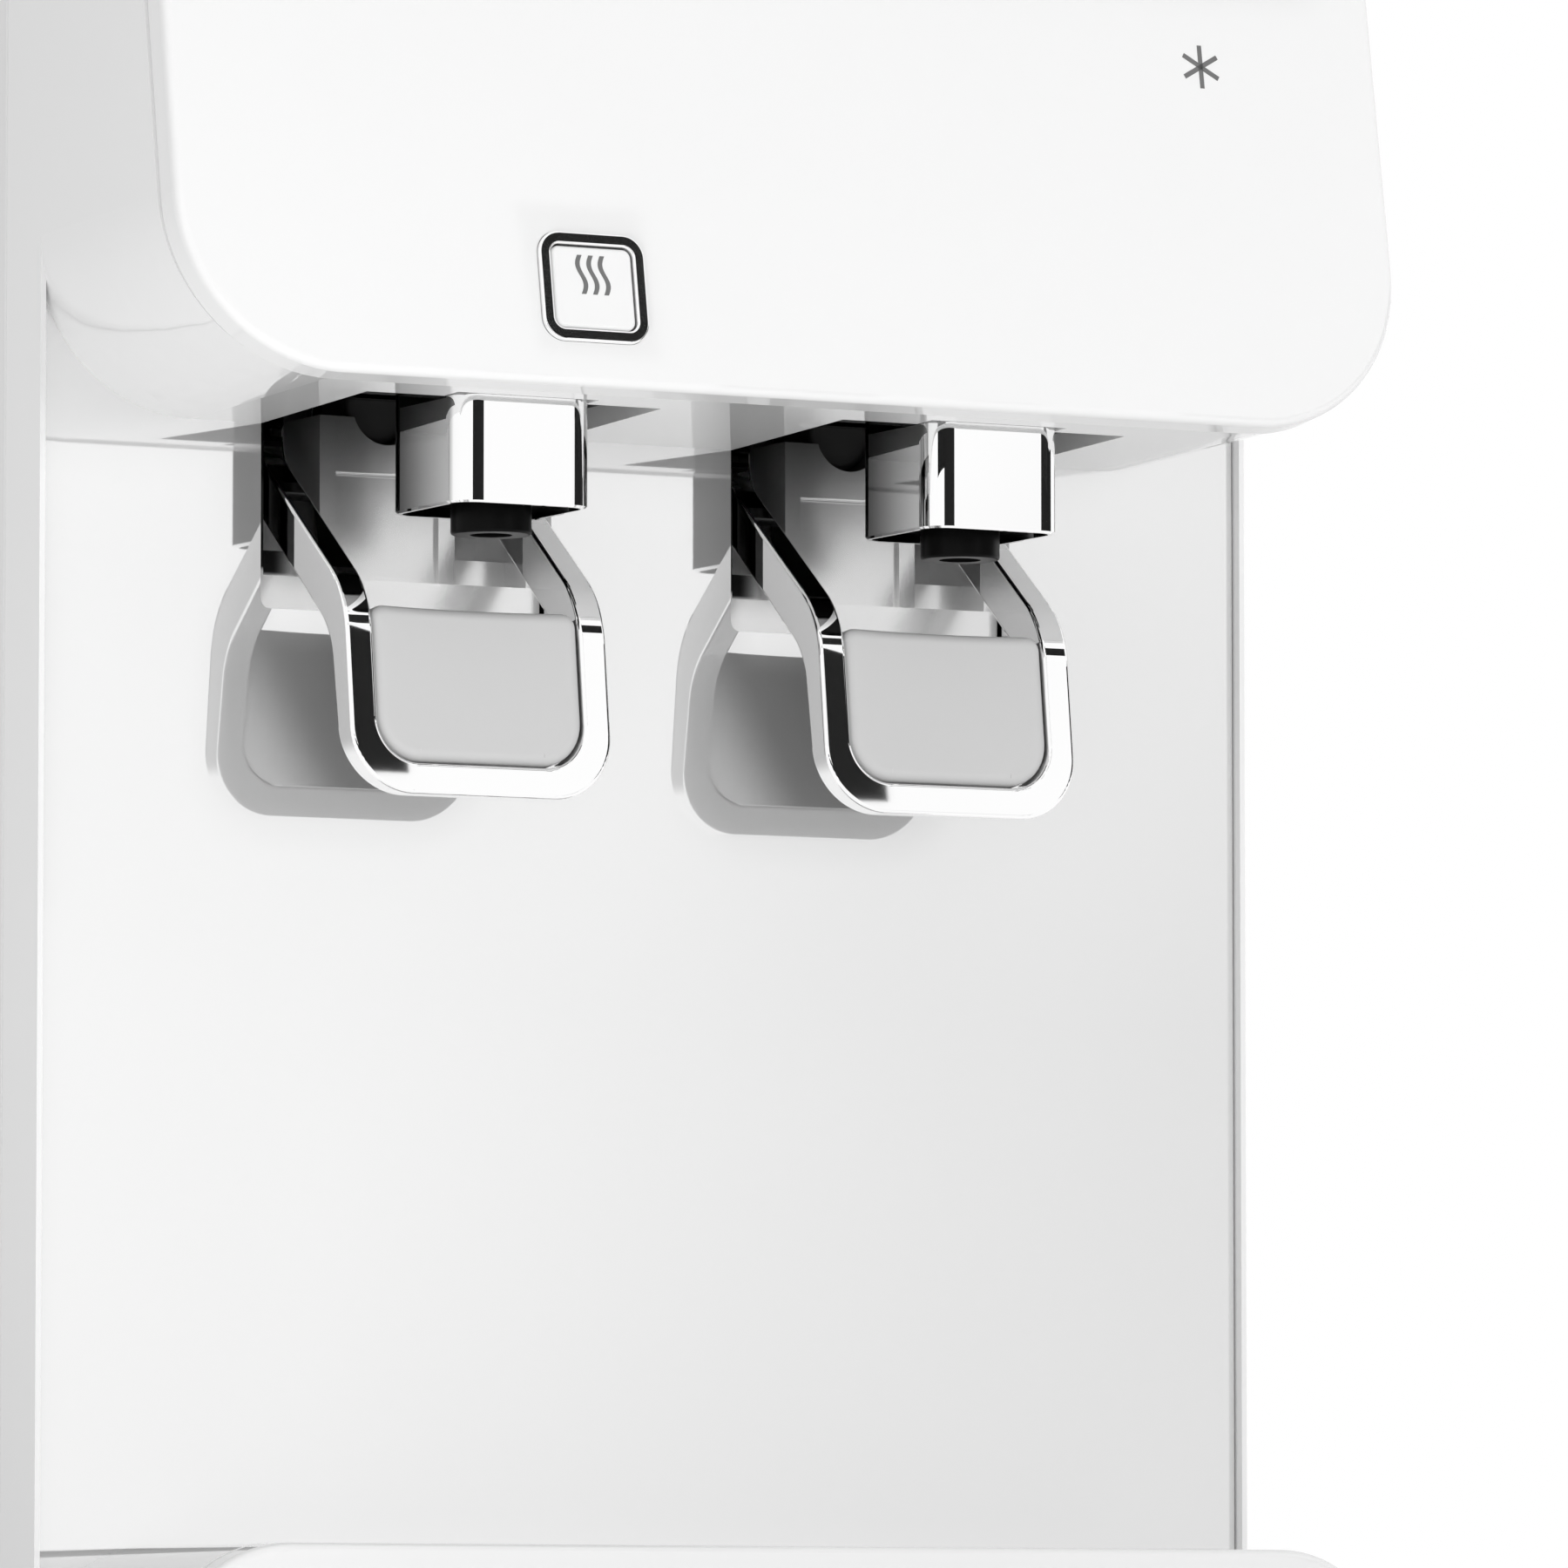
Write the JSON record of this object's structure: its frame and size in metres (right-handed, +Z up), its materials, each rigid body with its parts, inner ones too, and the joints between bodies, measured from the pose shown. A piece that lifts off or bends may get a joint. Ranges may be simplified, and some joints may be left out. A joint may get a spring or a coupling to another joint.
{
  "type": "water dispenser",
  "caption": "Counter-top hot and cold water dispenser with a slanted hood, chrome spouts, push levers with pads, a lock button and a pull-out drip tray.",
  "frame": {"origin": "on the floor, under the middle of the overall box", "axes": "+X to the right seen from the front, +Y to the back, +Z up"},
  "size_m": [0.26, 0.5, 0.507],
  "materials": {
    "white_gloss": "high gloss",
    "white_satin": "satin",
    "chrome": "polished",
    "pad_silicone": "matte",
    "silver_plastic": "fine grain",
    "black_plastic": "satin",
    "black_rubber": "matte",
    "grey_plastic": "matte",
    "clear_hose": "satin",
    "steel_sheet": "sheet",
    "stainless": "brushed",
    "spring_steel": "wire",
    "foam": "foam",
    "copper": "drawn",
    "black_enamel": "enamel",
    "circuit_board": "solder mask",
    "filter_white": "satin",
    "screw_steel": "plated"
  },
  "bodies": {
    "cabinet": {"front_frame": "white_gloss", "backsplash_panel": "white_gloss", "front_cover": "white_gloss", "button_bezel": "chrome", "return_springs": "spring_steel", "control_board": "circuit_board", "hot_pivot_pin": "stainless", "cold_pivot_pin": "stainless", "hot_bracket": "silver_plastic", "cold_bracket": "silver_plastic", "hot_valve_body": "grey_plastic", "cold_valve_body": "grey_plastic", "hot_spout": "chrome", "cold_spout": "chrome", "hot_nozzle": "black_plastic", "cold_nozzle": "black_plastic", "spout_mount": "black_plastic", "tray_housing": "white_gloss", "base_chassis": "steel_sheet", "rubber_feet": "black_rubber", "left_side_panel": "white_satin", "right_side_panel": "white_satin", "back_panel": "grey_plastic", "panel_screws": "screw_steel", "top_cover": "white_satin", "water_inlet": "grey_plastic", "drain_port": "grey_plastic", "power_inlet": "black_plastic", "switch_cases": "black_plastic", "inner_frame": "steel_sheet", "cold_tank": "stainless", "cold_tank_insulation": "foam", "evaporator_coil": "copper", "hot_tank": "stainless", "hot_tank_heater": "steel_sheet", "hot_tank_jacket": "foam", "compressor": "black_enamel", "compressor_grommets": "black_rubber", "condenser": "black_enamel", "filter_manifold": "grey_plastic", "feed_valve": "grey_plastic", "power_board": "circuit_board", "water_hoses": "clear_hose"},
    "hot_lever_set": {"hot_lever": "chrome", "hot_pad": "pad_silicone"},
    "cold_lever_set": {"cold_lever": "chrome", "cold_pad": "pad_silicone"},
    "hot_plunger": {"hot_valve_plunger": "black_rubber"},
    "cold_plunger": {"cold_valve_plunger": "black_rubber"},
    "lock_button": {"hot_lock_button": "white_satin"},
    "tray": {"drip_tray": "white_gloss", "tray_front": "white_gloss"},
    "grille": {"drip_grille": "stainless"},
    "lid": {"filter_lid": "white_satin"},
    "sediment_cartridge": {"sediment_filter": "filter_white"},
    "carbon_cartridge": {"carbon_filter": "filter_white"},
    "membrane_cartridge": {"membrane_filter": "filter_white"},
    "hot_rocker": {"hot_switch": "black_plastic"},
    "cold_rocker": {"cold_switch": "black_plastic"},
    "plug": {"drain_plug": "black_rubber"}
  },
  "joints": [
    {"name": "hot_lever_press", "type": "hinge", "parent": "cabinet", "child": "hot_lever_set", "pos_m": [-0.0525, -0.17195, 0.307], "axis": [1, 0, 0], "range_deg": [0, 9], "stiffness_Nm_per_rad": 2},
    {"name": "hot_plunger_slide", "type": "slide", "parent": "cabinet", "child": "hot_plunger", "axis": [0, 1, 0], "range_m": [0, 0.0019], "stiffness_N_per_m": 600},
    {"name": "cold_lever_press", "type": "hinge", "parent": "cabinet", "child": "cold_lever_set", "pos_m": [0.0477, -0.17195, 0.307], "axis": [1, 0, 0], "range_deg": [0, 9], "stiffness_Nm_per_rad": 2},
    {"name": "cold_plunger_slide", "type": "slide", "parent": "cabinet", "child": "cold_plunger", "axis": [0, 1, 0], "range_m": [0, 0.0019], "stiffness_N_per_m": 600},
    {"name": "lock_button_press", "type": "slide", "parent": "cabinet", "child": "lock_button", "axis": [0, 0.9866, -0.1633], "range_m": [0, 0.0025], "stiffness_N_per_m": 500},
    {"name": "tray_pull", "type": "slide", "parent": "cabinet", "child": "tray", "axis": [0, -1, 0], "range_m": [0, 0.07]},
    {"name": "grille_lift", "type": "slide", "parent": "tray", "child": "grille", "axis": [0, 0, 1], "range_m": [0, 0.04]},
    {"name": "lid_hinge", "type": "hinge", "parent": "cabinet", "child": "lid", "pos_m": [0, 0.117, 0.505], "axis": [-1, 0, 0], "range_deg": [0, 100]},
    {"name": "sediment_twist", "type": "hinge", "parent": "cabinet", "child": "sediment_cartridge", "pos_m": [-0.072, 0.072, 0.3], "axis": [0, 0, 1], "range_deg": [0, 90]},
    {"name": "carbon_twist", "type": "hinge", "parent": "cabinet", "child": "carbon_cartridge", "pos_m": [0, 0.072, 0.3], "axis": [0, 0, 1], "range_deg": [0, 90]},
    {"name": "membrane_twist", "type": "hinge", "parent": "cabinet", "child": "membrane_cartridge", "pos_m": [0.072, 0.072, 0.3], "axis": [0, 0, 1], "range_deg": [0, 90]},
    {"name": "hot_rocker_tilt", "type": "hinge", "parent": "cabinet", "child": "hot_rocker", "pos_m": [0.045, 0.23, 0.118], "axis": [1, 0, 0], "range_deg": [-9, 9]},
    {"name": "cold_rocker_tilt", "type": "hinge", "parent": "cabinet", "child": "cold_rocker", "pos_m": [0.079, 0.23, 0.118], "axis": [1, 0, 0], "range_deg": [-9, 9]},
    {"name": "plug_pull", "type": "slide", "parent": "cabinet", "child": "plug", "axis": [0, 1, 0], "range_m": [0, 0.02]}
  ],
  "couplings": [
    {"joint": "hot_plunger_slide", "follows": "hot_lever_press", "m_per_rad": 0.012},
    {"joint": "cold_plunger_slide", "follows": "cold_lever_press", "m_per_rad": 0.012}
  ]
}
